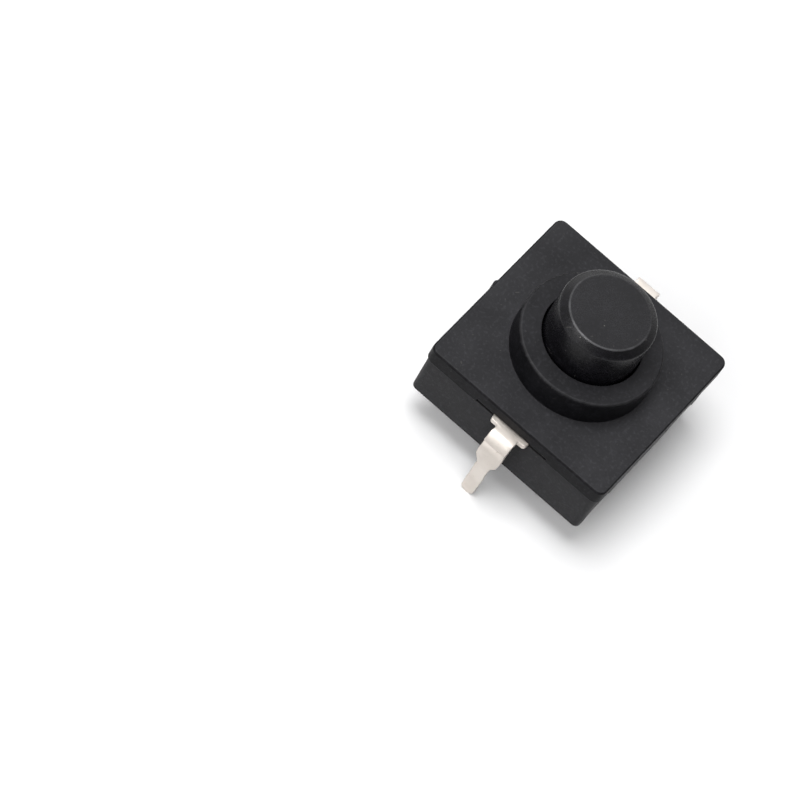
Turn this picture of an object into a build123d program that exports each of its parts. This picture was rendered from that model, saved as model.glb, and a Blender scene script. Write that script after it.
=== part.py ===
from build123d import *
import math
import os

# Square push button switch for a flashlight: a two-part moulded housing, a round button in a
# collar, a turning ratchet with a sprung contact bridge inside, and two bent sheet terminals.
# Lengths are in millimetres and angles in degrees. The origin is the centre of the underside,
# +Z runs up the button's axis, the terminals leave on -X and +X, and the post pockets are on Y.

# ---------------------------------------------------------------- cover (upper housing)
cover_side = 12.0
cover_corner_radius = 0.5
cover_thickness = 1.0
cover_edge_round = 0.12
collar_radius = 4.05
collar_height = 1.85
collar_edge_round = 0.15
guide_bore_radius = 2.85
post_radius = 0.724
post_inset_x = 2.06
post_inset_y = 1.1
gate_nub_width = 0.6
gate_nub_reach = 0.1
gate_nub_height = 0.6

# ---------------------------------------------------------------- base (lower housing)
cover_lip = 0.1
base_height = 3.2
base_draft = 1.0
base_corner_radius = 0.4
base_edge_chamfer = 0.1
base_floor = 0.7
well_radius = 3.9
arm_channel_end_wall = 0.85
post_clearance = 0.035
pocket_radius = 1.15
pocket_depth = 0.9
gate_dimple_radius = 0.55
gate_dimple_depth = 0.25
gate_dimple_height = 1.2
gate_pip_radius = 0.16
gate_pip_reach = 0.15
spring_cup_height = 0.3
spring_cup_wall = 0.35

# ---------------------------------------------------------------- terminals
sheet_thickness = 0.3
flag_width = 4.7
flag_wall_setback = 0.15
flag_clearance = 0.07
base_notch_depth = 0.05
cover_notch_depth = 0.28
tab_width = 2.42
tab_reach = 0.3
tab_corner_radius = 0.12
leg_width = 1.44
leg_face = 7.2
bend_inner_radius = 0.25
shoulder_height = 1.37
shoulder_drop = 0.5
shoulder_round = 0.3
pin_width = 0.82
pin_drop = 2.14
pin_tip_round = 0.36

# ---------------------------------------------------------------- contacts and bridge
contact_inset = 0.5
fixed_contact_radius = 0.55
fixed_contact_head = 0.13
moving_contact_radius = 0.5
moving_contact_head = 0.1
contact_shank_radius = 0.3
bridge_thickness = 0.25
bridge_hub_radius = 1.9
bridge_arm_width = 2.0
bridge_arm_gap = 0.15
bridge_end_gap = 0.1
bridge_corner_radius = 0.25

# ---------------------------------------------------------------- ratchet
button_travel = 1.4
seat_count = 4
seat_angle = 21.0
mesh_margin = 3.0
ramp_share = 0.75
rib_reach = 0.1
sleeve_wall = 0.35
channel_depth = 0.6
channel_half_angle = 11.5
channel_top = 0.7
vane_side_angle = 1.0
vane_radial_gap = 0.1
ratchet_gap = 0.02
rotor_disc_thickness = 0.4
rotor_hub_gap = 0.15
rotor_hub_height = 1.4
rotor_crown_gap = 0.035
pivot_radius = 0.55
pivot_gap = 0.05
pivot_reach = 0.45
pivot_seat_gap = 0.01

# ---------------------------------------------------------------- button
button_stand = 4.75
button_clearance = 0.105
button_chamfer_width = 0.48
button_chamfer_height = 0.285
button_bore_radius = 1.7
button_roof = 0.8
lug_height = 0.4
lug_gap = 0.03

# ---------------------------------------------------------------- spring
spring_wire = 0.2
spring_foot_radius = 2.4
spring_head_radius = 1.25
spring_turns = 2.0
spring_cup_gap = 0.08
spring_end_gap = 0.01

# ---------------------------------------------------------------- levels and fits
cover_half = cover_side / 2
base_half = cover_half - cover_lip
post_offset_x = cover_half - post_inset_x
post_offset_y = cover_half - post_inset_y
cover_top = base_height + cover_thickness
collar_top = cover_top + collar_height
channel_radius = guide_bore_radius + channel_depth
shoulder_level = cover_top + channel_top

rotor_drop = button_travel / 2
tooth_slope = rotor_drop / seat_angle
seat_pitch = 360 / seat_count
tooth_pitch = seat_pitch / 2
mesh_angle = seat_angle + mesh_margin
tooth_ramp_angle = ramp_share * tooth_pitch
tooth_height = tooth_slope * tooth_ramp_angle
tooth_count = 2 * seat_count
vane_half_angle = channel_half_angle - vane_side_angle
vane_radius = channel_radius - vane_radial_gap
rib_tip_level = base_height - rib_reach
seat_level = rib_tip_level + rotor_drop
channel_start = tooth_pitch - channel_half_angle
rib_ramp_slope = rotor_drop / channel_start

rotor_peak = seat_level - ratchet_gap
rotor_bottom = rotor_peak - tooth_height - rotor_disc_thickness
bridge_top = rotor_bottom - pivot_seat_gap
bridge_bottom = bridge_top - bridge_thickness

button_radius = guide_bore_radius - button_clearance
button_top = cover_top + button_stand
button_apex = rotor_peak + tooth_slope * mesh_angle + ratchet_gap
button_ridge = button_apex - tooth_height

terminal_bottom = base_height - base_notch_depth
terminal_top = terminal_bottom + sheet_thickness
arm_channel_reach = base_half - arm_channel_end_wall
arm_reach = arm_channel_reach - bridge_end_gap
contact_offset = arm_reach - moving_contact_radius
flag_inner_reach = contact_offset - contact_inset
overcut = 0.5
level_tolerance = 0.005


def sector_block(inner, outer, start, end, level_start, level_end, height):
    """Sector of a ring whose top or bottom climbs evenly, like a screw flank.

    The flank runs from level_start at the start angle to level_end at the end angle. The block
    stands above it for a positive height and hangs below it for a negative one.
    """
    section_spacing = 6.0
    steps = max(2, math.ceil(abs(end - start) / section_spacing))
    sections = []
    for step in range(steps + 1):
        share = step / steps
        angle = math.radians(start + share * (end - start))
        level = level_start + share * (level_end - level_start)
        radial = (math.cos(angle), math.sin(angle), 0)
        against_turn = (math.sin(angle), -math.cos(angle), 0)
        plane = Plane(origin=(0, 0, level), x_dir=radial, z_dir=against_turn)
        middle = Pos((inner + outer) / 2, height / 2)
        sections.append(plane * middle * Rectangle(outer - inner, abs(height)))
    return loft(sections)


def around(shape, count, first_angle=0.0):
    """The same shape repeated evenly around the button's axis."""
    return [Rot(0, 0, first_angle + turn * 360 / count) * shape for turn in range(count)]


def upright_cylinder(radius, bottom, top):
    """Cylinder on the button's axis between two levels."""
    standing = (Align.CENTER, Align.CENTER, Align.MIN)
    return Pos(0, 0, bottom) * Cylinder(radius, top - bottom, align=standing)


def post_places():
    """Centres of the four corner posts."""
    return [(x, y) for x in (-post_offset_x, post_offset_x) for y in (-post_offset_y, post_offset_y)]


def terminal_notch(bottom, depth):
    """Flat pocket, open at the side, that clamps one terminal's wide inner flag."""
    length = cover_half - flag_inner_reach + flag_clearance
    width = flag_width + 2 * flag_clearance
    middle_x = flag_inner_reach - flag_clearance + length / 2
    return Pos(middle_x, 0, bottom + depth / 2) * Box(length, width, depth)


def make_upper_housing():
    """Cover plate, collar, ratchet crown and the four posts, moulded as one piece."""
    plate = extrude(RectangleRounded(cover_side, cover_side, cover_corner_radius), cover_thickness)
    plate = fillet(plate.edges().group_by(Axis.Z)[-1], cover_edge_round)
    plate = Pos(0, 0, base_height) * plate

    collar = upright_cylinder(collar_radius, base_height, collar_top)
    collar = fillet(collar.edges().group_by(Axis.Z)[-1], collar_edge_round)
    sleeve = upright_cylinder(channel_radius + sleeve_wall, rib_tip_level, cover_top)
    housing = plate + collar + sleeve

    housing -= upright_cylinder(guide_bore_radius, 0, collar_top + overcut)

    inner = guide_bore_radius - channel_depth / 2
    depth = -(rotor_drop + overcut)
    seat_flank = sector_block(inner, channel_radius, 0, seat_angle, seat_level, rib_tip_level, depth)
    rib_ramp = sector_block(inner, channel_radius, -channel_start, 0, rib_tip_level, seat_level, depth)
    exit_level = rib_tip_level + rib_ramp_slope * (channel_start - seat_angle)
    exit_ramp = sector_block(
        inner, channel_radius, seat_angle, channel_start, rib_tip_level, exit_level, depth
    )
    channel_cut = -(shoulder_level - rib_tip_level + overcut)
    channel = sector_block(
        inner, channel_radius, -channel_half_angle, channel_half_angle, shoulder_level, shoulder_level,
        channel_cut,
    )
    cuts = around(seat_flank, seat_count) + around(rib_ramp, seat_count)
    cuts += around(exit_ramp, seat_count) + around(channel, seat_count, tooth_pitch)
    for cut in cuts:
        housing -= cut

    for turn in (0, 180):
        housing -= Rot(0, 0, turn) * terminal_notch(rib_tip_level, rib_reach + cover_notch_depth)

    for x, y in post_places():
        post = upright_cylinder(post_radius, 0, base_height + cover_thickness / 2)
        housing += Pos(x, y, 0) * post

    nub_radius = gate_nub_width / 2
    nub = Cylinder(nub_radius, gate_nub_height)
    nub_level = base_height + cover_notch_depth + gate_nub_height / 2
    housing += Pos(0, cover_half + gate_nub_reach - nub_radius, nub_level) * nub
    return housing


def make_base():
    """Lower housing: round well, cross channel for the bridge, post holes and end pockets."""
    outline = RectangleRounded(2 * base_half, 2 * base_half, base_corner_radius)
    base = extrude(Pos(0, 0, base_height) * outline, amount=base_height, dir=(0, 0, -1), taper=base_draft)
    base = chamfer(base.edges().group_by(Axis.Z)[0], base_edge_chamfer)

    base -= upright_cylinder(well_radius, base_floor, base_height + overcut)
    channel_width = bridge_arm_width + 2 * bridge_arm_gap
    channel_depth_down = base_height - base_floor + overcut
    base -= Pos(0, 0, base_floor + channel_depth_down / 2) * Box(
        2 * arm_channel_reach, channel_width, channel_depth_down
    )
    for turn in (0, 180):
        base -= Rot(0, 0, turn) * terminal_notch(terminal_bottom, base_notch_depth + overcut)

    for x, y in post_places():
        side = math.copysign(1, y)
        base -= Pos(x, y, 0) * upright_cylinder(post_radius + post_clearance, 0, base_height)
        base -= Pos(x, y, 0) * upright_cylinder(pocket_radius, 0, pocket_depth)
        mouth_length = base_half + overcut - post_offset_y
        mouth_middle = y + side * mouth_length / 2
        base -= Pos(x, mouth_middle, pocket_depth / 2) * Box(2 * pocket_radius, mouth_length, pocket_depth)

    cup_radius = spring_foot_radius + spring_wire / 2 + spring_cup_gap
    cup_top = base_floor + spring_cup_height
    cup = upright_cylinder(cup_radius + spring_cup_wall, base_floor, cup_top)
    base += cup - upright_cylinder(cup_radius, base_floor, cup_top)

    dimple_floor = base_half - gate_dimple_depth
    dimple = Pos(-dimple_floor, 0, gate_dimple_height) * Rot(0, -90, 0)
    standing = (Align.CENTER, Align.CENTER, Align.MIN)
    bore = Cylinder(gate_dimple_radius, gate_dimple_depth + overcut, align=standing)
    pip = Cylinder(gate_pip_radius, gate_pip_reach, align=standing)
    base -= dimple * bore
    base += dimple * pip
    return base


def make_button():
    """Round button with a chamfered flat top, four guide lugs and a toothed lower rim."""
    flat_radius = button_radius - button_chamfer_width
    roof = button_top - button_roof
    section = make_face(
        Polyline(
            (0, button_top),
            (flat_radius, button_top),
            (button_radius, button_top - button_chamfer_height),
            (button_radius, button_ridge),
            (button_bore_radius, button_ridge),
            (button_bore_radius, roof),
            (0, roof),
            close=True,
        )
    )
    button = revolve(Plane.XZ * section, Axis.Z)

    inner = button_bore_radius - overcut
    outer = button_radius + overcut
    depth = -(tooth_height + overcut)
    ramp_start = mesh_angle - tooth_ramp_angle
    back_end = ramp_start + tooth_pitch
    ramp = sector_block(inner, outer, ramp_start, mesh_angle, button_ridge, button_apex, depth)
    back = sector_block(inner, outer, mesh_angle, back_end, button_apex, button_ridge, depth)
    for cut in around(ramp, tooth_count) + around(back, tooth_count):
        button -= cut

    lug_inner = (button_bore_radius + button_radius) / 2
    lug_top = shoulder_level - lug_gap
    lug = sector_block(
        lug_inner, vane_radius, -vane_half_angle, vane_half_angle, lug_top, lug_top, -lug_height
    )
    for piece in around(lug, seat_count, tooth_pitch):
        button += piece
    return button


def make_rotor():
    """Ratchet wheel: a toothed crown under the button and four ridged vanes under the cover's ribs."""
    hub_radius = button_bore_radius - rotor_hub_gap
    crown_radius = button_radius + rotor_crown_gap
    rotor = upright_cylinder(crown_radius, rotor_bottom, rotor_peak)
    ramp_foot = rotor_peak - tooth_height
    back_angle = tooth_pitch - tooth_ramp_angle
    height = tooth_height + overcut
    reach = crown_radius + overcut
    ramp = sector_block(hub_radius, reach, -tooth_ramp_angle, 0, ramp_foot, rotor_peak, height)
    back = sector_block(hub_radius, reach, 0, back_angle, rotor_peak, ramp_foot, height)
    for cut in around(ramp, tooth_count) + around(back, tooth_count):
        rotor -= cut

    side_level = rotor_peak - tooth_slope * vane_half_angle
    vane_depth = -(side_level - rotor_bottom)
    rise = sector_block(crown_radius, vane_radius, -vane_half_angle, 0, side_level, rotor_peak, vane_depth)
    fall = sector_block(crown_radius, vane_radius, 0, vane_half_angle, rotor_peak, side_level, vane_depth)
    root_level = ramp_foot
    root = sector_block(
        hub_radius, vane_radius, -vane_half_angle, vane_half_angle, root_level, root_level,
        rotor_bottom - root_level,
    )
    for piece in around(rise, seat_count) + around(fall, seat_count) + around(root, seat_count):
        rotor += piece

    rotor += upright_cylinder(hub_radius, rotor_bottom, rotor_peak + rotor_hub_height)
    rotor += upright_cylinder(pivot_radius, rotor_bottom - pivot_reach, rotor_peak)
    return rotor


def make_contact_bridge():
    """Flat sprung plate with a round hub and two arms that carry the moving contacts."""
    plan = RectangleRounded(2 * arm_reach, bridge_arm_width, bridge_corner_radius)
    plan += Circle(bridge_hub_radius)
    plan -= Circle(pivot_radius + pivot_gap)
    for side in (-1, 1):
        plan -= Pos(side * contact_offset, 0) * Circle(contact_shank_radius)
    return Pos(0, 0, bridge_bottom) * extrude(plan, bridge_thickness)


def make_contact(head_radius, head_height, shank_length, foot_level, points_up):
    """Contact rivet on +X whose shank fills the sheet and whose head stands off it."""
    shank = upright_cylinder(contact_shank_radius, 0, shank_length)
    head = upright_cylinder(head_radius, shank_length, shank_length + head_height)
    rivet = shank + head
    if not points_up:
        rivet = Pos(0, 0, shank_length) * Rot(180, 0, 0) * rivet
    return Pos(contact_offset, 0, foot_level) * rivet


def make_terminal():
    """Terminal on +X: a clamped flag, a narrower tab, a square bend and a leg ending in a pin."""
    leg_inner = leg_face - sheet_thickness
    bend_start = leg_inner - bend_inner_radius
    bend_outer = bend_inner_radius + sheet_thickness
    bend_level = terminal_bottom - bend_inner_radius
    centre = (bend_start, bend_level)
    profile = make_face(
        [
            Line((flag_inner_reach, terminal_top), (bend_start, terminal_top)),
            CenterArc(centre, bend_outer, 0, 90),
            Line((leg_face, bend_level), (leg_face, -pin_drop)),
            Line((leg_face, -pin_drop), (leg_inner, -pin_drop)),
            Line((leg_inner, -pin_drop), (leg_inner, bend_level)),
            CenterArc(centre, bend_inner_radius, 0, 90),
            Line((bend_start, terminal_bottom), (flag_inner_reach, terminal_bottom)),
            Line((flag_inner_reach, terminal_bottom), (flag_inner_reach, terminal_top)),
        ]
    )
    strip = extrude(Plane.XZ * profile, flag_width / 2, both=True)

    flag_end = base_half - flag_wall_setback
    tab_end = cover_half + tab_reach
    flag = Pos((flag_inner_reach + flag_end) / 2, 0) * Rectangle(flag_end - flag_inner_reach, flag_width)
    tab = Pos((flag_inner_reach + tab_end) / 2, 0) * Rectangle(tab_end - flag_inner_reach, tab_width)
    tab = fillet(tab.vertices().group_by(Axis.X)[-1], tab_corner_radius)
    neck = Pos((flag_inner_reach + leg_face) / 2, 0) * Rectangle(leg_face - flag_inner_reach, leg_width)
    plan = flag + tab + neck
    plan -= Pos(contact_offset, 0) * Circle(contact_shank_radius)
    strip &= Pos(0, 0, -pin_drop) * extrude(plan, pin_drop + terminal_top)

    leg_half = leg_width / 2
    pin_half = pin_width / 2
    pin_level = shoulder_height - shoulder_drop
    leg = Polygon(
        (leg_half, terminal_top), (-leg_half, terminal_top), (-leg_half, shoulder_height),
        (-pin_half, pin_level), (-pin_half, -pin_drop), (pin_half, -pin_drop), (pin_half, pin_level),
        (leg_half, shoulder_height), align=None,
    )
    by_level = leg.vertices().group_by(Axis.Y)
    leg = fillet(by_level[0], pin_tip_round)
    shoulders = [v for v in leg.vertices() if abs(v.Y - shoulder_height) < level_tolerance]
    leg = fillet(shoulders, shoulder_round)
    clamped = Pos((flag_inner_reach + tab_end) / 2, 0, (terminal_bottom + terminal_top) / 2) * Box(
        tab_end - flag_inner_reach, flag_width, sheet_thickness
    )
    standing = extrude(Plane.YZ * leg, leg_face + overcut)
    return strip & (standing + clamped)


def make_return_spring():
    """Conical coil spring, wide at the floor, that nests flat when the bridge comes down."""
    foot = base_floor + spring_wire / 2 + spring_end_gap
    head = bridge_bottom - spring_wire / 2 - spring_end_gap
    points_per_turn = 12
    steps = round(spring_turns * points_per_turn)
    points = []
    for step in range(steps + 1):
        share = step / steps
        radius = spring_foot_radius + share * (spring_head_radius - spring_foot_radius)
        angle = 2 * math.pi * spring_turns * share
        level = foot + share * (head - foot)
        points.append((radius * math.cos(angle), radius * math.sin(angle), level))
    path = Spline(*points)
    section_sides = 6
    section = Plane(origin=path @ 0, z_dir=path % 0) * RegularPolygon(spring_wire / 2, section_sides)
    return sweep(section, path=path)


def main():
    terminal = make_terminal()
    fixed_foot = terminal_bottom - fixed_contact_head
    fixed_contact = make_contact(
        fixed_contact_radius, fixed_contact_head, sheet_thickness, terminal_bottom, points_up=False
    )
    moving_contact = make_contact(
        moving_contact_radius, moving_contact_head, bridge_thickness, bridge_bottom, points_up=True
    )
    half_turn = Rot(0, 0, 180)
    nodes = {
        "upper_housing": make_upper_housing(),
        "base": make_base(),
        "button": make_button(),
        "rotor": make_rotor(),
        "contact_bridge": make_contact_bridge(),
        "return_spring": make_return_spring(),
        "right_terminal": terminal,
        "left_terminal": half_turn * terminal,
        "right_fixed_contact": fixed_contact,
        "left_fixed_contact": half_turn * fixed_contact,
        "right_moving_contact": moving_contact,
        "left_moving_contact": half_turn * moving_contact,
    }
    os.makedirs("parts", exist_ok=True)
    for name, shape in nodes.items():
        export_step(shape, f"parts/{name}.step")
    open_gap = fixed_foot - (bridge_top + moving_contact_head)
    print(f"open contact gap {open_gap:.3f}")
    print(f"rotor turn per press {seat_angle:.1f} of {tooth_pitch:.1f} degrees")


if __name__ == "__main__":
    main()
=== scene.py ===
"""Looks of a square, self-locking push button switch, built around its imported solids.

The cover, base, ratchet wheel, bridge and rivets keep their solids and get moulded or metal finishes.
The button is its own solid with two rings rounded. The two sheet terminals and the coil spring are
built here, from flat blanks and a round wire.
"""

from __future__ import annotations

import logging
import math
from dataclasses import dataclass, field
from enum import Enum
from typing import Any

import bmesh
import bpy
from mathutils import Matrix, Vector


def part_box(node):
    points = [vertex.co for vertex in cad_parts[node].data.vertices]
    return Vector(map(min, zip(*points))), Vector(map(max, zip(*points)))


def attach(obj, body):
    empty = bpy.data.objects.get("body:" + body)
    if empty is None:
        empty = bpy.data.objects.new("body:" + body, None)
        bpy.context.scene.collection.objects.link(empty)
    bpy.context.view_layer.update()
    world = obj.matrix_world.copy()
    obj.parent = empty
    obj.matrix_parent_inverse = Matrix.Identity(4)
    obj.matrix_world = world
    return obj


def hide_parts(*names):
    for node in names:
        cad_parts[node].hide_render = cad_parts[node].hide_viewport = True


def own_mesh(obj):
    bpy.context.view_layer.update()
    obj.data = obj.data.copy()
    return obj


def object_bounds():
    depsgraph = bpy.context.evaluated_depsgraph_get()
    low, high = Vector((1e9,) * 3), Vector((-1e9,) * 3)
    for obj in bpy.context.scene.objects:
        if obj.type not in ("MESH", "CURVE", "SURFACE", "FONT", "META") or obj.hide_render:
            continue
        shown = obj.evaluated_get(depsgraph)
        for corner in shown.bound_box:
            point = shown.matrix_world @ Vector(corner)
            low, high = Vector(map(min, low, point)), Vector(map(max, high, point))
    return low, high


log = logging.getLogger("switch")
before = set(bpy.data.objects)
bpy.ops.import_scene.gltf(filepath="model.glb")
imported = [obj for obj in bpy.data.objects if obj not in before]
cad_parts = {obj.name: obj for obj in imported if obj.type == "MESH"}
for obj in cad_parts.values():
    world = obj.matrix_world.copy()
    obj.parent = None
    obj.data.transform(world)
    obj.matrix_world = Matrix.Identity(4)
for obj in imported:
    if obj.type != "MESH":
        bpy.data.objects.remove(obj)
cad_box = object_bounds()

MM = 0.001
CREASE = math.radians(24)
NOISE_MIDDLE = 0.5
WHITE = (1.0, 1.0, 1.0, 1.0)
Triple = tuple[float, float, float]
Colour = Triple
Band = tuple[float, float]


class Body(Enum):
    """Rigid bodies that the pieces made here ride on."""

    HOUSING = "housing"
    BUTTON = "button"


class Slot(Enum):
    """Finishes of those pieces, as the switch's record names them."""

    BUTTON = "black_button"
    SPRING = "spring_steel"
    TERMINAL = "tinned_terminal"


class Side(Enum):
    """Which end of the switch a terminal stands at, as the sign of X."""

    LEFT = -1
    RIGHT = 1


class Ray(Enum):
    """Kinds of ray, by the Light Path output that marks them."""

    CAMERA = "Is Camera Ray"
    GLOSSY = "Is Glossy Ray"
    TRANSMISSION = "Is Transmission Ray"


# ------------------------------------------------------------------------------ shader maths


class Wire:
    """Output socket whose arithmetic adds Math nodes."""

    def __init__(self, bench: Bench, socket: bpy.types.NodeSocket | None) -> None:
        """Keep the bench and the socket, or None for a closing node that has no output."""
        self.bench = bench
        self.socket = socket

    def _math(self, operation: str, first: Value, second: Value) -> Wire:
        """Add one Math node with a left and a right operand."""
        return self.bench.add("ShaderNodeMath", {"operation": operation}, {0: first, 1: second})

    def __add__(self, other: Value) -> Wire:
        """Sum of this and another value."""
        return self._math("ADD", self, other)

    def __radd__(self, other: Value) -> Wire:
        """Sum with this value on the right."""
        return self._math("ADD", other, self)

    def __sub__(self, other: Value) -> Wire:
        """Difference of this and another value."""
        return self._math("SUBTRACT", self, other)

    def __rsub__(self, other: Value) -> Wire:
        """Difference with this value on the right."""
        return self._math("SUBTRACT", other, self)

    def __mul__(self, other: Value) -> Wire:
        """Product of this and another value."""
        return self._math("MULTIPLY", self, other)

    def __rmul__(self, other: Value) -> Wire:
        """Product with this value on the right."""
        return self._math("MULTIPLY", other, self)

    def __gt__(self, other: Value) -> Wire:
        """One where this is the greater, otherwise nought."""
        return self._math("GREATER_THAN", self, other)

    def near(self, target: float, reach: float) -> Wire:
        """One at a target value, falling to nought where the value is off by the reach."""
        away = self - target
        return (1.0 - away * away * (1.0 / (reach * reach))).clamped()

    def clamped(self) -> Wire:
        """This value held between nought and one."""
        return self._math("MINIMUM", self._math("MAXIMUM", self, 0.0), 1.0)

    def sibling(self, output: str) -> Wire:
        """Another output of the same node."""
        return Wire(self.bench, self.socket.node.outputs[output])


Value = Wire | float


class Bench:
    """Node tree of one material or world, and the only place where nodes are made."""

    MIX_SHARE, MIX_FIRST, MIX_SECOND, MIX_RESULT = 0, 6, 7, 2
    EASE_SAMPLES = 6
    EDGE_SAMPLES = 8
    EDGE_BAND: Band = (0.02, 0.3)

    def __init__(self, tree: bpy.types.NodeTree) -> None:
        """Clear the tree for a new set of nodes."""
        self.tree = tree
        tree.nodes.clear()

    def add(
        self,
        kind: str,
        settings: dict[str, Any] | None = None,
        inputs: dict[str | int, Any] | None = None,
        output: str | int = 0,
    ) -> Wire:
        """Make a node, set it up and join its inputs.

        Args:
            kind: Blender's type name of the node.
            settings: Properties, which are set first.
            inputs: Value or wire for each input, by name or number.
            output: Name or number of the output that is wanted.

        Returns:
            That output.
        """
        node = self.tree.nodes.new(kind)
        for name, value in (settings or {}).items():
            setattr(node, name, value)
        for name, value in (inputs or {}).items():
            if isinstance(value, Wire):
                self.tree.links.new(value.socket, node.inputs[name])
            else:
                node.inputs[name].default_value = value
        return Wire(self, node.outputs[output] if len(node.outputs) else None)

    def place(self) -> Wire:
        """Position on the object, in metres."""
        return self.add("ShaderNodeTexCoord", output="Object")

    def axis(self, vector: Wire, letter: str) -> Wire:
        """One coordinate of a vector."""
        return self.add("ShaderNodeSeparateXYZ", None, {"Vector": vector}, letter)

    def length(self, vector: Wire) -> Wire:
        """Length of a vector."""
        return self.add("ShaderNodeVectorMath", {"operation": "LENGTH"}, {0: vector}, "Value")

    def rays(self, *kinds: Ray) -> Wire:
        """One for rays of the given kinds, nought for all others."""
        return sum(self.add("ShaderNodeLightPath", output=kind.value) for kind in kinds).clamped()

    def noise(self, size_mm: float, layers: float) -> Wire:
        """Smooth noise with features of one size and a number of finer layers."""
        inputs = {"Vector": self.place(), "Scale": 1.0 / (size_mm * MM), "Detail": layers}
        return self.add("ShaderNodeTexNoise", None, inputs, "Fac")

    def drawn_noise(self, size_mm: Triple, layers: float, turn: Triple = (0.0, 0.0, 0.0)) -> Wire:
        """Smooth noise whose features are longer along one axis than along another.

        Args:
            size_mm: Size of a feature along X, Y and Z.
            layers: Number of finer layers.
            turn: Turn of those axes about X, Y and Z, in radians.

        Returns:
            Noise around one half.
        """
        size = tuple(side * MM for side in size_mm)
        inputs = {"Vector": self.place(), "Rotation": turn, "Scale": size}
        mapped = self.add("ShaderNodeMapping", {"vector_type": "TEXTURE"}, inputs)
        inputs = {"Vector": mapped, "Scale": 1.0, "Detail": layers}
        return self.add("ShaderNodeTexNoise", None, inputs, "Fac")

    def ramp(self, value: Value, low: float, high: float) -> Wire:
        """Straight rise from nought at low to one at high."""
        inputs = {"Value": value, "From Min": low, "From Max": high}
        return self.add("ShaderNodeMapRange", {"clamp": True}, inputs)

    def mix(self, share: Value, first: Wire | Colour, second: Wire | Colour) -> Wire:
        """Blend two colours.

        Args:
            share: Weight of the second colour.
            first: Colour at nought.
            second: Colour at one.

        Returns:
            The blended colour.
        """
        ends = [end if isinstance(end, Wire) else (*end, 1.0) for end in (first, second)]
        inputs = {self.MIX_SHARE: share, self.MIX_FIRST: ends[0], self.MIX_SECOND: ends[1]}
        return self.add("ShaderNodeMix", {"data_type": "RGBA"}, inputs, self.MIX_RESULT)

    def edge_normal(self, radius_mm: float) -> Wire:
        """Surface direction, eased over every sharp edge."""
        settings = {"samples": self.EASE_SAMPLES}
        return self.add("ShaderNodeBevel", settings, {"Radius": radius_mm * MM})

    def edge_mask(self, radius_mm: float) -> Wire:
        """Find the outer edges.

        Args:
            radius_mm: How far the mask reaches from an edge.

        Returns:
            One on outer edges, falling to nought a short way from them.
        """
        settings = {"inside": True, "only_local": True, "samples": self.EDGE_SAMPLES}
        inputs = {"Distance": radius_mm * MM}
        open_share = self.add("ShaderNodeAmbientOcclusion", settings, inputs, "AO")
        return self.ramp(1.0 - open_share, *self.EDGE_BAND)

    def bump(self, height: Wire, depth_mm: float, normal: Wire) -> Wire:
        """Tilt the surface direction by a height pattern.

        Args:
            height: Pattern between nought and one.
            depth_mm: Height of a full step.
            normal: Surface direction to start from.

        Returns:
            The tilted direction.
        """
        inputs = {"Height": height, "Distance": depth_mm * MM, "Strength": 1.0, "Normal": normal}
        return self.add("ShaderNodeBump", None, inputs)

    def surface(self, shader: Wire) -> None:
        """Join a shader to the material's output."""
        self.add("ShaderNodeOutputMaterial", None, {"Surface": shader})


def new_material(name: str) -> tuple[bpy.types.Material, Bench]:
    """Make an empty node material.

    Args:
        name: The material's name.

    Returns:
        The material and the bench of its nodes.
    """
    material = bpy.data.materials.new(name)
    material.use_nodes = True
    return material, Bench(material.node_tree)


# ------------------------------------------------------------------------------ finishes


@dataclass(frozen=True)
class Mottle:
    """Blotches of one size, cut from smooth noise between the two levels of a band."""

    size_mm: float
    layers: float
    band: Band

    def mask(self, bench: Bench) -> Wire:
        """Nought between the blotches and one on them."""
        return bench.ramp(bench.noise(self.size_mm, self.layers), *self.band)


@dataclass(frozen=True)
class GlintRing:
    """Painted highlight: a pale ring round the part's own axis, fainter toward +X, sizes in
    millimetres.
    """

    radius: float
    share: float = 0.8
    width: float = 0.07
    fade: Band = (-1.6, 1.2)
    fade_share: float = 0.85

    def mask(self, bench: Bench) -> Wire:
        """Find the ring.

        Args:
            bench: Nodes of the material.

        Returns:
            Mask that is greatest on the ring and nought away from it.
        """
        place = bench.place()
        flat = bench.add("ShaderNodeVectorMath", {"operation": "MULTIPLY"}, {0: place, 1: (1, 1, 0)})
        # Painted highlight is fainter toward +X, away from the side where the light glints.
        faded = bench.ramp(bench.axis(place, "X"), *(level * MM for level in self.fade))
        ring = bench.length(flat).near(self.radius * MM, self.width * MM)
        return ring * (1.0 - faded * self.fade_share) * self.share


@dataclass(frozen=True)
class PaintedTopSheen:
    """Painted sheen on faces that look up, thinner above a level, sizes in millimetres."""

    share: float
    colour: Colour = (0.22, 0.22, 0.235)
    facing: Band = (0.88, 0.99)
    thin_level: float = 100.0
    thin_ease: float = 0.5
    thin_share: float = 0.35

    def mask(self, bench: Bench) -> Wire:
        """Find the faces that get the painted sheen.

        Args:
            bench: Nodes of the material.

        Returns:
            Share of painted sheen in the colour.
        """
        # Painted sheen: up-facing faces are lightened in place of the overhead light's reflection, less
        # so above a level.
        direction = bench.add("ShaderNodeTexCoord", output="Normal")
        upward = bench.ramp(bench.axis(direction, "Z"), *self.facing)
        low, high = self.thin_level - self.thin_ease, self.thin_level + self.thin_ease
        thinned = bench.ramp(bench.axis(bench.place(), "Z"), low * MM, high * MM)
        return upward * (1.0 - thinned * self.thin_share) * self.share


@dataclass(frozen=True)
class Scratches:
    """A few short, thin, pale scratches, one set for each turn, sizes in millimetres."""

    share: float = 0.1
    size: Triple = (1.4, 0.2, 0.2)
    band: Band = (0.765, 0.80)
    turns: tuple[Triple, ...] = ((0.3, 0.5, 0.9), (0.9, -0.4, -0.7), (-0.5, 0.8, 2.1))

    def mask(self, bench: Bench) -> Wire:
        """Sum of the sets, greatest on a scratch."""
        streaks = (bench.drawn_noise(self.size, 1.0, turn) for turn in self.turns)
        return sum(bench.ramp(streak, *self.band) for streak in streaks) * self.share


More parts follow.
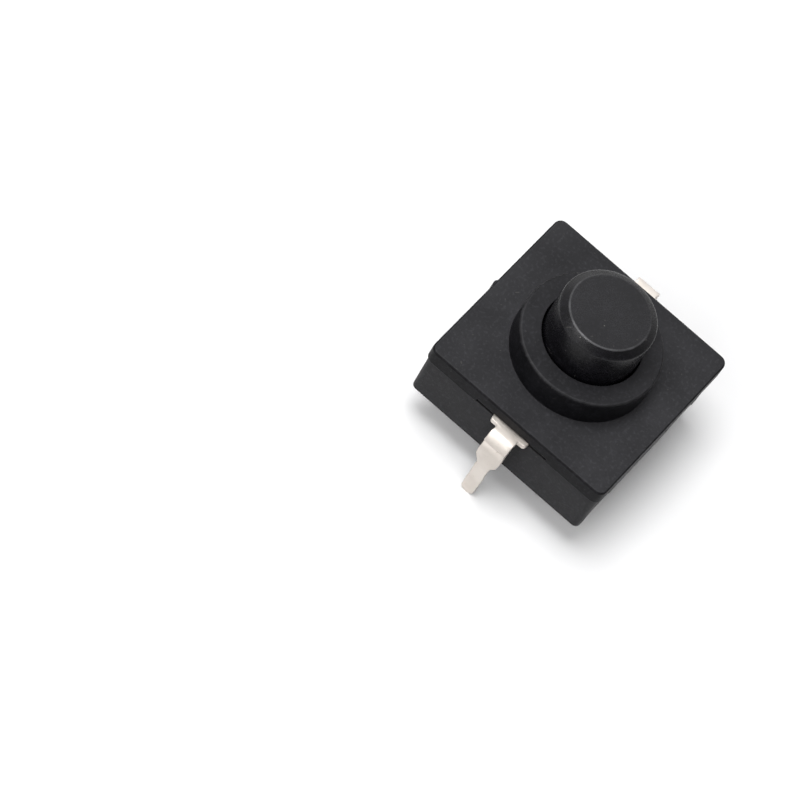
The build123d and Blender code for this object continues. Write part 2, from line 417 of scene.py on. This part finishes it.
@dataclass(frozen=True)
class DustGrains:
    """Sparse pale grains, at most one in each cell, sizes in millimetres."""

    cell: float = 0.8
    filled: float = 0.22
    strength: float = 0.5
    reach: Band = (0.02, 0.055)

    def mask(self, bench: Bench) -> Wire:
        """Find the grains.

        Args:
            bench: Nodes of the material.

        Returns:
            Mask that is greatest on a grain.
        """
        inputs = {"Vector": bench.place(), "Scale": 1.0 / (self.cell * MM), "Randomness": 1.0}
        away = bench.add("ShaderNodeTexVoronoi", {"feature": "F1"}, inputs, "Distance")
        tint = bench.add("ShaderNodeSeparateColor", None, {"Color": away.sibling("Color")}, "Red")
        small = 1.0 - bench.ramp(away, *self.reach)
        return small * (tint > 1.0 - self.filled) * self.strength


@dataclass(frozen=True)
class MouldedPlastic:
    """Moulding compound with a spark-eroded skin, scuffed edges, a little dust and painted highlights.

    The lighter tone is the colour times lifted. A lift says how far a pattern goes toward it, a share
    how strongly a mark covers what is under it, and a gloss how much a pattern changes the roughness.
    """

    colour: Colour = (0.0042, 0.0041, 0.0049)
    lifted: float = 3.6
    rubbed_and_glint: Colour = (0.10, 0.10, 0.105)
    dust: Colour = (0.24, 0.23, 0.21)
    roughness: float = 0.47
    sheen: float = 0.25
    grain_mm: float = 0.07
    grain_depth_mm: float = 0.007
    grain_layers: float = 3.0
    grain_gloss: float = 0.18
    cloud_mm: float = 2.6
    cloud_layers: float = 4.0
    cloud_gloss: float = 0.22
    cloud_band: Band = (0.3, 0.7)
    cloud_lift: float = 0.5
    fleck: Mottle = Mottle(0.2, 2.0, (0.52, 0.78))
    fleck_lift: float = 0.7
    patch: Mottle = Mottle(0.52, 3.0, (0.35, 0.7))
    patch_floor: float = 0.45
    edge_mm: float = 0.08
    # Share of lighter edges: scuffing, and on the button mostly a painted highlight.
    edge_wear_glint_share: float = 0.03
    edge_gloss: float = 0.05
    # Painted sheen on faces that look up, and how unevenly it lies.
    painted_top_sheen: PaintedTopSheen | None = None
    painted_sheen_floor: float = 0.5
    painted_sheen_fleck: float = 0.3
    ring: GlintRing | None = None
    grains: DustGrains = DustGrains()
    scratches: Scratches = Scratches()

    def build(self, name: str) -> bpy.types.Material:
        """Make the material.

        Args:
            name: The material's name.

        Returns:
            The finished material.
        """
        material, bench = new_material(name)
        grain = bench.noise(self.grain_mm, self.grain_layers)
        cloud = bench.noise(self.cloud_mm, self.cloud_layers)
        fleck = self.fleck.mask(bench)
        patch = self.patch.mask(bench)
        edge = bench.edge_mask(self.edge_mm)
        lift = bench.ramp(cloud, *self.cloud_band) * patch * self.cloud_lift + fleck * self.fleck_lift
        lighter = tuple(self.lifted * part for part in self.colour)
        base = bench.mix(lift.clamped(), self.colour, lighter)
        # Lighter edges and ring: scuffing on edges, and painted highlight where rims catch the light.
        worn_and_glint = edge * self.edge_wear_glint_share
        if self.ring is not None:
            worn_and_glint = worn_and_glint + self.ring.mask(bench)
        worn_and_glint = worn_and_glint * (self.patch_floor + patch * (1.0 - self.patch_floor))
        base = bench.mix(worn_and_glint.clamped(), base, self.rubbed_and_glint)
        # Painted sheen: faces that look up are lightened in place of the light's reflection.
        if self.painted_top_sheen is not None:
            uneven = self.painted_sheen_floor + cloud + fleck * self.painted_sheen_fleck
            base = bench.mix(self.painted_top_sheen.mask(bench) * uneven, base, self.painted_top_sheen.colour)
        base = bench.mix(self.grains.mask(bench), base, self.dust)
        base = bench.mix(self.scratches.mask(bench), base, self.dust)
        rough = self.roughness - edge * self.edge_gloss
        rough = rough + (cloud - NOISE_MIDDLE) * self.cloud_gloss
        rough = rough + (grain - NOISE_MIDDLE) * self.grain_gloss
        inputs = {
            "Base Color": base,
            "Roughness": rough.clamped(),
            "Normal": bench.bump(grain, self.grain_depth_mm, bench.edge_normal(self.edge_mm)),
            "Specular IOR Level": self.sheen,
        }
        bench.surface(bench.add("ShaderNodeBsdfPrincipled", None, inputs))
        return material


@dataclass(frozen=True)
class SheetMetal:
    """Rolled or plated metal with faint roll lines, stains, pits and a soft waviness.

    A share says how dull a mark is, and a gloss how much a pattern changes the roughness.
    """

    colour: Colour
    dull: Colour
    roughness: float = 0.3
    line_mm: Triple = (0.05, 0.6, 0.6)
    line_layers: float = 3.0
    line_depth_mm: float = 0.0015
    line_gloss: float = 0.25
    wave_mm: float = 0.9
    wave_layers: float = 1.5
    wave_depth_mm: float = 0.03
    stain: Mottle = Mottle(1.3, 4.0, (0.38, 0.68))
    stain_share: float = 0.35
    stain_gloss: float = 0.14
    pit: Mottle = Mottle(0.16, 2.0, (0.66, 0.74))
    pit_share: float = 0.3
    pit_gloss: float = 0.15
    edge_mm: float = 0.04
    cut_mm: float = 0.06
    cut_shade: float = 0.0
    cut_colour: Colour = (0.30, 0.27, 0.23)

    def build(self, name: str) -> bpy.types.Material:
        """Make the material.

        Args:
            name: The material's name.

        Returns:
            The finished material.
        """
        material, bench = new_material(name)
        lines = bench.drawn_noise(self.line_mm, self.line_layers)
        wave = bench.noise(self.wave_mm, self.wave_layers)
        stain = self.stain.mask(bench)
        pit = self.pit.mask(bench)
        dulled = stain * self.stain_share + pit * self.pit_share
        base = bench.mix(dulled, self.colour, self.dull)
        if self.cut_shade:
            base = bench.mix(bench.edge_mask(self.cut_mm) * self.cut_shade, base, self.cut_colour)
        rough = self.roughness + (lines - NOISE_MIDDLE) * self.line_gloss
        rough = rough + stain * self.stain_gloss + pit * self.pit_gloss
        wavy = bench.bump(wave, self.wave_depth_mm, bench.edge_normal(self.edge_mm))
        inputs = {
            "Base Color": base,
            "Metallic": 1.0,
            "Roughness": rough.clamped(),
            "Normal": bench.bump(lines, self.line_depth_mm, wavy),
        }
        bench.surface(bench.add("ShaderNodeBsdfPrincipled", None, inputs))
        return material


# Painted highlights: a ring on the collar's edge, and sheen on faces that look up.
BLACK_COVER = MouldedPlastic(
    sheen=0.08, ring=GlintRing(3.97, share=0.25), painted_top_sheen=PaintedTopSheen(0.104, thin_level=5.1)
)
BLACK_BASE = MouldedPlastic(
    colour=(0.0125, 0.0123, 0.0138), lifted=2.1, roughness=0.55, sheen=0.15, fleck_lift=0.8,
    cloud_lift=0.4,
)
# Painted highlights: strong lighter edges and a ring on the rims, and sheen on the top.
BLACK_BUTTON = MouldedPlastic(
    colour=(0.0024, 0.0023, 0.003), lifted=3.5, roughness=0.25, sheen=0.18, grain_depth_mm=0.004,
    edge_wear_glint_share=0.9, edge_gloss=0.17, ring=GlintRing(2.265), painted_top_sheen=PaintedTopSheen(0.056),
)
NATURAL_ACETAL = MouldedPlastic(
    colour=(0.40, 0.39, 0.36), lifted=1.5, rubbed_and_glint=(0.8, 0.79, 0.75), dust=(0.5, 0.48, 0.44),
    roughness=0.35,
)
BRIGHT_TIN = SheetMetal(
    colour=(0.66, 0.615, 0.57), dull=(0.51, 0.465, 0.42), roughness=0.37, wave_depth_mm=0.04,
    edge_mm=0.06, cut_shade=0.15,
)
ROLLED_BRASS = SheetMetal(colour=(0.80, 0.60, 0.30), dull=(0.55, 0.38, 0.18), roughness=0.26)
SILVERED = SheetMetal(
    colour=(0.90, 0.89, 0.86), dull=(0.6, 0.57, 0.5), roughness=0.2, wave_depth_mm=0.01
)
DRAWN_STEEL = SheetMetal(
    colour=(0.6, 0.6, 0.61), dull=(0.4, 0.4, 0.4), roughness=0.24, wave_depth_mm=0.004
)


# ------------------------------------------------------------------------------ pieces


def dress(node: str, material: bpy.types.Material) -> None:
    """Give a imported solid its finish.

    Args:
        node: Name of the solid.
        material: Finish for all its faces.
    """
    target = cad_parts[node]
    target.data.materials.clear()
    target.data.materials.append(material)
    log.info("dressed %s in %s", node, material.name)


def finished_piece(
    bm: bmesh.types.BMesh, name: str, material: bpy.types.Material
) -> bpy.types.Object:
    """Turn a mesh into a scene object with one finish, smooth but for its creases.

    Args:
        bm: Mesh in row-frame metres; it is freed.
        name: Name of the piece.
        material: Finish for all its faces.

    Returns:
        The object, at the origin.
    """
    for face in bm.faces:
        face.smooth = True
    for edge in bm.edges:
        edge.smooth = len(edge.link_faces) != 2 or edge.calc_face_angle() < CREASE
    mesh = bpy.data.meshes.new(name)
    bm.to_mesh(mesh)
    bm.free()
    mesh.materials.append(material)
    piece = bpy.data.objects.new(name, mesh)
    bpy.context.scene.collection.objects.link(piece)
    return piece


@dataclass
class SideTerminal:
    """Terminal stamped from a flat blank and bent square, sizes in millimetres.

    The flag is the wide inner end with the rivet hole, and the tab is the ear outside the slot. The
    leg bows inward in a hollow under the bend, then goes down past its shoulders to the pin.
    """

    side: Side
    thickness: float = 0.3
    flag_half_width: float = 2.35
    flag_length: float = 1.8
    tab_half_width: float = 1.21
    tab_length: float = 0.55
    tab_round: float = 0.17
    neck_round: float = 0.10
    leg_half_width: float = 0.72
    bend_radius: float = 0.4
    set_back: float = 0.004
    shoulder_level: float = 1.37
    shoulder_drop: float = 0.5
    shoulder_round: float = 0.24
    pin_start_round: float = 0.08
    pin_half_width: float = 0.41
    pin_round: float = 0.36
    round_segments: int = 5
    hole_radius: float = 0.3
    hole_inset: float = 0.5
    hole_sides: int = 32
    hollow_depth: float = 0.16
    hollow_length: float = 0.68
    ripple: float = 0.018
    ripple_rate: float = 9.0
    ripple_drift: float = 4.3
    sheared_edge: float = 0.08
    sheared_segments: int = 2
    sheared_angle: float = math.radians(50)
    slice_length: float = 0.09
    lengthwise_cuts: Triple = (-0.5, 0.0, 0.5)
    tolerance: float = 1e-4
    name: str = field(init=False)
    inner_reach: float = field(init=False)
    middle_level: float = field(init=False)
    tip_level: float = field(init=False)
    bend_start: float = field(init=False)
    flat_length: float = field(init=False)
    arc_length: float = field(init=False)

    def __post_init__(self) -> None:
        """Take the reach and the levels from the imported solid."""
        self.name = f"{self.side.name.lower()}_terminal"
        low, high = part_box(self.name)
        outer_face = max(abs(low.x), abs(high.x)) / MM - self.set_back
        self.inner_reach = min(abs(low.x), abs(high.x)) / MM
        self.middle_level = high.z / MM - self.thickness / 2
        self.tip_level = low.z / MM
        self.bend_start = outer_face - self.thickness / 2 - self.bend_radius
        self.flat_length = self.bend_start - self.inner_reach
        self.arc_length = self.bend_radius * math.pi / 2

    def build(self, material: bpy.types.Material) -> bpy.types.Object:
        """Stamp, bend and finish the terminal.

        Args:
            material: Finish of the sheet.

        Returns:
            The terminal as a scene object.
        """
        bm = self.blank()
        self.slice_across(bm)
        for vert in bm.verts:
            vert.co = self.bent(vert.co.x, vert.co.y)
        bmesh.ops.recalc_face_normals(bm, faces=bm.faces)
        piece = finished_piece(bm, f"{self.name}_sheet", material)
        self.thicken(piece)
        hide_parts(self.name)
        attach(piece, Body.HOUSING.value)
        return piece

    def blank(self) -> bmesh.types.BMesh:
        """Cut the flat blank: X runs along the strip from its inner end, Y across it.

        Returns:
            The blank in millimetres, with rounded corners and its rivet hole.
        """
        tab_end = self.flag_length + self.tab_length
        leg_start = self.flat_length + self.arc_length
        straight = self.middle_level - self.bend_radius
        shoulder = leg_start + straight - self.shoulder_level
        pin_start = shoulder + self.shoulder_drop
        tip = leg_start + straight - self.tip_level
        half = [
            (0.0, self.flag_half_width), (self.flag_length, self.flag_half_width),
            (self.flag_length, self.tab_half_width), (tab_end, self.tab_half_width),
            (tab_end, self.leg_half_width), (shoulder, self.leg_half_width),
            (pin_start, self.pin_half_width), (tip, self.pin_half_width),
        ]
        outline = half + [(along, -across) for along, across in reversed(half)]
        bm = bmesh.new()
        bm.faces.new([bm.verts.new((along, across, 0.0)) for along, across in outline])
        self.round_corners(bm, tip, self.pin_half_width, self.pin_round)
        self.round_corners(bm, shoulder, self.leg_half_width, self.shoulder_round)
        self.round_corners(bm, pin_start, self.pin_half_width, self.pin_start_round)
        self.round_corners(bm, tab_end, self.tab_half_width, self.tab_round)
        self.round_corners(bm, tab_end, self.leg_half_width, self.neck_round)
        bmesh.ops.delete(bm, geom=list(bm.faces), context="FACES_ONLY")
        bmesh.ops.create_circle(
            bm, cap_ends=False, radius=self.hole_radius, segments=self.hole_sides,
            matrix=Matrix.Translation((self.hole_inset, 0.0, 0.0)),
        )
        bmesh.ops.triangle_fill(bm, use_beauty=True, use_dissolve=False, edges=list(bm.edges))
        return bm

    def round_corners(
        self, bm: bmesh.types.BMesh, along: float, across: float, radius: float
    ) -> None:
        """Round a corner of the flat outline and its twin across the middle line.

        Args:
            bm: The blank, changed in place.
            along: Where the corners are along the strip.
            across: How far they are from its middle line.
            radius: How far each rounding reaches.
        """
        corners = [
            vert for vert in bm.verts
            if abs(vert.co.x - along) < self.tolerance
            and abs(abs(vert.co.y) - across) < self.tolerance
        ]
        bmesh.ops.bevel(
            bm, geom=corners, offset=radius, offset_type="OFFSET", segments=self.round_segments,
            profile=0.5, affect="VERTICES", material=-1,
        )

    def slice_across(self, bm: bmesh.types.BMesh) -> None:
        """Cut the blank into short slices, so that it can bend and bow.

        Args:
            bm: The blank, changed in place.
        """
        end = max(vert.co.x for vert in bm.verts)
        place = self.flag_length
        while place < end:
            self.cut(bm, (place, 0, 0), (1, 0, 0))
            place += self.slice_length
        for share in self.lengthwise_cuts:
            self.cut(bm, (0, share * self.leg_half_width, 0), (0, 1, 0))

    def cut(self, bm: bmesh.types.BMesh, point: Triple, direction: Triple) -> None:
        """Cut the blank along a plane and keep both sides.

        Args:
            bm: The blank, changed in place.
            point: A point of the plane.
            direction: Direction square to it.
        """
        geometry = list(bm.verts) + list(bm.edges) + list(bm.faces)
        bmesh.ops.bisect_plane(
            bm, geom=geometry, dist=self.tolerance, plane_co=point, plane_no=direction
        )

    def bent(self, along: float, across: float) -> Vector:
        """Place of a point of the blank once the strip is bent.

        Args:
            along: Distance from the strip's inner end, in millimetres.
            across: Distance from its middle line, in millimetres.

        Returns:
            The place in the row frame, in metres.
        """
        past_bend = along - self.flat_length - self.arc_length
        bend_level = self.middle_level - self.bend_radius
        if along <= self.flat_length:
            x, z = self.inner_reach + along, self.middle_level
        elif past_bend <= 0:
            angle = (along - self.flat_length) / self.bend_radius
            x = self.bend_start + self.bend_radius * math.sin(angle)
            z = bend_level + self.bend_radius * math.cos(angle)
        else:
            share = min(past_bend / self.hollow_length, 1.0)
            x = self.bend_start + self.bend_radius
            x -= self.hollow_depth * math.sin(share * math.pi) ** 2
            z = bend_level - past_bend
        drift = math.sin(self.ripple_drift * along + across)
        across += self.ripple * math.sin(self.ripple_rate * along) * drift
        sign = self.side.value
        return Vector((sign * x, sign * across, z)) * MM

    def thicken(self, piece: bpy.types.Object) -> None:
        """Give the bent skin the sheet's thickness and its sheared edges.

        Args:
            piece: The terminal, changed in place.
        """
        wall = piece.modifiers.new("thickness", "SOLIDIFY")
        wall.thickness = self.thickness * MM
        wall.offset = 0.0
        wall.use_even_offset = True
        edge = piece.modifiers.new("sheared edge", "BEVEL")
        edge.width = self.sheared_edge * MM
        edge.segments = self.sheared_segments
        edge.limit_method = "ANGLE"
        edge.angle_limit = self.sheared_angle


@dataclass
class ReturnSpring:
    """Conical coil of round wire under the contact bridge, sizes in millimetres."""

    wire: float = 0.2
    wire_resolution: int = 4
    foot_radius: float = 2.4
    head_radius: float = 1.25
    turns: float = 2.0
    points_per_turn: int = 24
    travel: float = 0.7
    weld: float = 1e-4

    def build(self, material: bpy.types.Material) -> bpy.types.Object:
        """Wind the spring between the base's floor and the bridge.

        Args:
            material: Finish of the wire.

        Returns:
            The spring as a scene object.
        """
        low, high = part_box("return_spring")
        foot = low.z / MM + self.wire / 2
        head = high.z / MM - self.wire / 2
        bm = self.coil(foot, head)
        bmesh.ops.remove_doubles(bm, verts=bm.verts, dist=self.weld * MM)
        bmesh.ops.recalc_face_normals(bm, faces=bm.faces)
        piece = finished_piece(bm, "return_spring_coil", material)
        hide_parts("return_spring")
        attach(piece, Body.HOUSING.value)
        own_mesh(piece)
        return piece

    def coil(self, foot: float, head: float) -> bmesh.types.BMesh:
        """Wind round wire along a cone.

        Args:
            foot: Level of the wire's middle at the foot.
            head: Level of the wire's middle at the head.

        Returns:
            The wire's skin, in metres.
        """
        curve = bpy.data.curves.new("coil_path", "CURVE")
        curve.dimensions = "3D"
        curve.bevel_depth = self.wire / 2 * MM
        curve.bevel_resolution = self.wire_resolution
        curve.use_fill_caps = True
        path = curve.splines.new("POLY")
        steps = round(self.turns * self.points_per_turn)
        path.points.add(steps)
        for step, point in enumerate(path.points):
            share = step / steps
            angle = math.tau * self.turns * share
            radius = self.foot_radius + share * (self.head_radius - self.foot_radius)
            level = foot + share * (head - foot)
            place = Vector((radius * math.cos(angle), radius * math.sin(angle), level)) * MM
            point.co = (*place, 1.0)
        path_object = bpy.data.objects.new("coil_path", curve)
        mesh = bpy.data.meshes.new_from_object(path_object)
        bpy.data.objects.remove(path_object)
        bm = bmesh.new()
        bm.from_mesh(mesh)
        return bm


@dataclass
class ButtonCap:
    """Button with the small roundings of its top and chamfer, sizes in millimetres."""

    chamfer_height: float = 0.285
    top_round: float = 0.055
    rim_round: float = 0.1
    segments: int = 4
    tolerance: float = 0.01
    weld: float = 1e-5
    flat_angle: float = math.radians(0.5)

    def build(self, material: bpy.types.Material) -> bpy.types.Object:
        """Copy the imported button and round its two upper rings.

        Args:
            material: Finish of the button.

        Returns:
            The button as a scene object.
        """
        bm = bmesh.new()
        bm.from_mesh(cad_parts["button"].data)
        bmesh.ops.remove_doubles(bm, verts=bm.verts, dist=self.weld * MM)
        bmesh.ops.dissolve_limit(
            bm, angle_limit=self.flat_angle, verts=bm.verts, edges=bm.edges, delimit={"NORMAL"}
        )
        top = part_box("button")[1].z / MM
        self.round_ring(bm, top, self.top_round)
        self.round_ring(bm, top - self.chamfer_height, self.rim_round)
        piece = finished_piece(bm, "button_cap", material)
        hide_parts("button")
        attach(piece, Body.BUTTON.value)
        return piece

    def round_ring(self, bm: bmesh.types.BMesh, level: float, radius: float) -> None:
        """Round the ring of edges at a level.

        Args:
            bm: The button, changed in place.
            level: Level of the ring.
            radius: How far the rounding reaches.
        """
        ring = [
            edge for edge in bm.edges
            if all(abs(vert.co.z / MM - level) < self.tolerance for vert in edge.verts)
        ]
        bmesh.ops.bevel(
            bm, geom=ring, offset=radius * MM, offset_type="OFFSET", segments=self.segments,
            profile=0.5, affect="EDGES", material=-1, clamp_overlap=True,
        )


@dataclass
class Mouldings:
    """Cover, base and button: the black plastic parts that show."""

    cover: MouldedPlastic = BLACK_COVER
    base: MouldedPlastic = BLACK_BASE
    button: MouldedPlastic = BLACK_BUTTON

    def build(self) -> None:
        """Dress the cover and the base, and build the button."""
        dress("upper_housing", self.cover.build("cover_plastic"))
        dress("base", self.base.build("base_plastic"))
        cap = ButtonCap().build(self.button.build("button_plastic"))
        log.info("built %s", cap.name)


@dataclass
class SwitchWorks:
    """Ratchet wheel, contact bridge, rivets and return spring inside the housing."""

    wheel: MouldedPlastic = NATURAL_ACETAL
    bridge: SheetMetal = ROLLED_BRASS
    rivets: SheetMetal = SILVERED
    spring: SheetMetal = DRAWN_STEEL

    def build(self) -> None:
        """Dress the wheel, the bridge and the four rivets, and build the spring."""
        dress("rotor", self.wheel.build("wheel_acetal"))
        dress("contact_bridge", self.bridge.build("bridge_brass"))
        silver = self.rivets.build("rivet_silver")
        for side in Side:
            for kind in ("fixed", "moving"):
                dress(f"{side.name.lower()}_{kind}_contact", silver)
        spring = ReturnSpring().build(self.spring.build("spring_wire"))
        log.info("built %s", spring.name)


@dataclass
class TerminalPair:
    """The two tinned terminals, one the other turned by half a turn."""

    sheet: SheetMetal = BRIGHT_TIN

    def build(self) -> None:
        """Build both terminals in one finish."""
        tin = self.sheet.build("terminal_tin")
        for side in Side:
            piece = SideTerminal(side).build(tin)
            log.info("built %s", piece.name)


# ------------------------------------------------------------------------------ studio


@dataclass(frozen=True)
class Softbox:
    """Round soft lamp that faces the switch, sizes in millimetres."""

    size: float
    distance: float
    power: float
    direction: Triple

    def hang(self, name: str) -> None:
        """Hang the lamp along its direction.

        Args:
            name: Name of the lamp.
        """
        lamp = bpy.data.lights.new(name, "AREA")
        lamp.shape = "DISK"
        lamp.size = self.size * MM
        lamp.energy = self.power
        holder = bpy.data.objects.new(name, lamp)
        direction = Vector(self.direction).normalized()
        holder.location = direction * self.distance * MM
        holder.rotation_euler = direction.to_track_quat("Z", "Y").to_euler()
        bpy.context.scene.collection.objects.link(holder)


@dataclass(frozen=True)
class Camera:
    """Long lens that looks down at the switch, rolled to one side, sizes in millimetres."""

    azimuth: float = math.radians(-79.923)
    elevation: float = math.radians(56.608)
    roll: float = math.radians(32.618)
    distance: float = 261.054
    target: Triple = (-9.690, 5.201, 4.2)
    focal_length: float = 225.02
    sensor: float = 36.0
    clip: Band = (5.0, 20000.0)

    def stand(self) -> None:
        """Stand the camera and make it the scene's own."""
        lens = bpy.data.cameras.new("camera")
        lens.lens = self.focal_length
        lens.sensor_width = self.sensor
        lens.clip_start, lens.clip_end = (reach * MM for reach in self.clip)
        back = Vector((
            math.sin(self.azimuth) * math.cos(self.elevation),
            -math.cos(self.azimuth) * math.cos(self.elevation),
            math.sin(self.elevation),
        ))
        place = (Vector(self.target) + back * self.distance) * MM
        level = back.to_track_quat("Z", "Y").to_matrix()
        rolled = level @ Matrix.Rotation(self.roll, 3, "Z")
        holder = bpy.data.objects.new("camera", lens)
        holder.matrix_world = Matrix.Translation(place) @ rolled.to_4x4()
        bpy.context.scene.collection.objects.link(holder)
        bpy.context.scene.camera = holder


@dataclass
class Studio:
    """White table under a pale sky, three soft lamps and the camera, sizes in millimetres."""

    table_side: float = 3000.0
    table_colour: Colour = (0.90, 0.90, 0.905)
    table_glow: float = 0.06
    table_fade: Band = (80.0, 320.0)
    sky_strength: float = 0.20
    near_level: float = 0.3
    far_level: float = 1.35
    far_side: Triple = (0.81, 0.50, 0.30)
    far_band: Band = (-0.2, 0.8)
    key: Softbox = Softbox(300.0, 500.0, power=1.95, direction=(-0.12, 0.28, 1.4))
    fill: Softbox = Softbox(600.0, 500.0, power=1.62, direction=(-0.80, 0.20, 0.50))
    rim: Softbox = Softbox(45.0, 60.0, power=0.004, direction=(0.9, 0.75, 0.75))
    camera: Camera = Camera()

    def build(self) -> None:
        """Lay the table, hang the light and stand the camera."""
        self.lay_table()
        self.set_sky()
        self.key.hang("key")
        self.fill.hang("fill")
        self.rim.hang("rim")
        self.camera.stand()
        bpy.context.scene.view_settings.view_transform = "Standard"

    def lay_table(self) -> None:
        """Lay a flat table at the level of the pins' tips, plain white far out."""
        level = Matrix.Translation((0, 0, cad_box[0].z))
        half_side = self.table_side / 2 * MM
        bm = bmesh.new()
        bmesh.ops.create_grid(bm, x_segments=1, y_segments=1, size=half_side, matrix=level)
        material, bench = new_material("table_white")
        for_eyes = bench.rays(Ray.CAMERA, Ray.GLOSSY, Ray.TRANSMISSION)
        diffuse = bench.add("ShaderNodeBsdfDiffuse", None, {"Color": (*self.table_colour, 1.0)})
        glow = self.white_light(bench, for_eyes * self.table_glow)
        near = bench.add("ShaderNodeAddShader", None, {0: diffuse, 1: glow})
        seen = bench.rays(Ray.CAMERA)
        far = self.white_light(bench, self.near_level + seen * (1.0 - self.near_level))
        fade = bench.ramp(bench.length(bench.place()), *(reach * MM for reach in self.table_fade))
        mixed = bench.add("ShaderNodeMixShader", None, {0: fade * for_eyes, 1: near, 2: far})
        bench.surface(mixed)
        finished_piece(bm, "table", material)

    def white_light(self, bench: Bench, strength: Wire) -> Wire:
        """White glow of a given strength."""
        return bench.add("ShaderNodeEmission", None, {"Color": WHITE, "Strength": strength})

    def set_sky(self) -> None:
        """Set a pale sky that is plain white to the eye and graded from side to side in reflections."""
        world = bpy.data.worlds.new("world")
        world.use_nodes = True
        bpy.context.scene.world = world
        bench = Bench(world.node_tree)
        toward = bench.add("ShaderNodeTexCoord", output="Generated")
        settings = {"operation": "DOT_PRODUCT"}
        aside = bench.add("ShaderNodeVectorMath", settings, {0: toward, 1: self.far_side}, "Value")
        rise = bench.ramp(aside, *self.far_band) * (self.far_level - self.near_level)
        mirrored = bench.rays(Ray.GLOSSY) * (self.near_level + rise)
        hidden = 1.0 - bench.rays(Ray.CAMERA, Ray.GLOSSY)
        strength = bench.rays(Ray.CAMERA) + mirrored + hidden * self.sky_strength
        sky = bench.add("ShaderNodeBackground", None, {"Color": WHITE, "Strength": strength})
        bench.add("ShaderNodeOutputWorld", None, {"Surface": sky})


def main() -> None:
    """Build the studio and every sub-assembly in order."""
    logging.basicConfig(level=logging.INFO, format="%(name)s: %(message)s")
    Studio().build()
    Mouldings().build()
    TerminalPair().build()
    SwitchWorks().build()


if __name__ == "__main__":
    main()
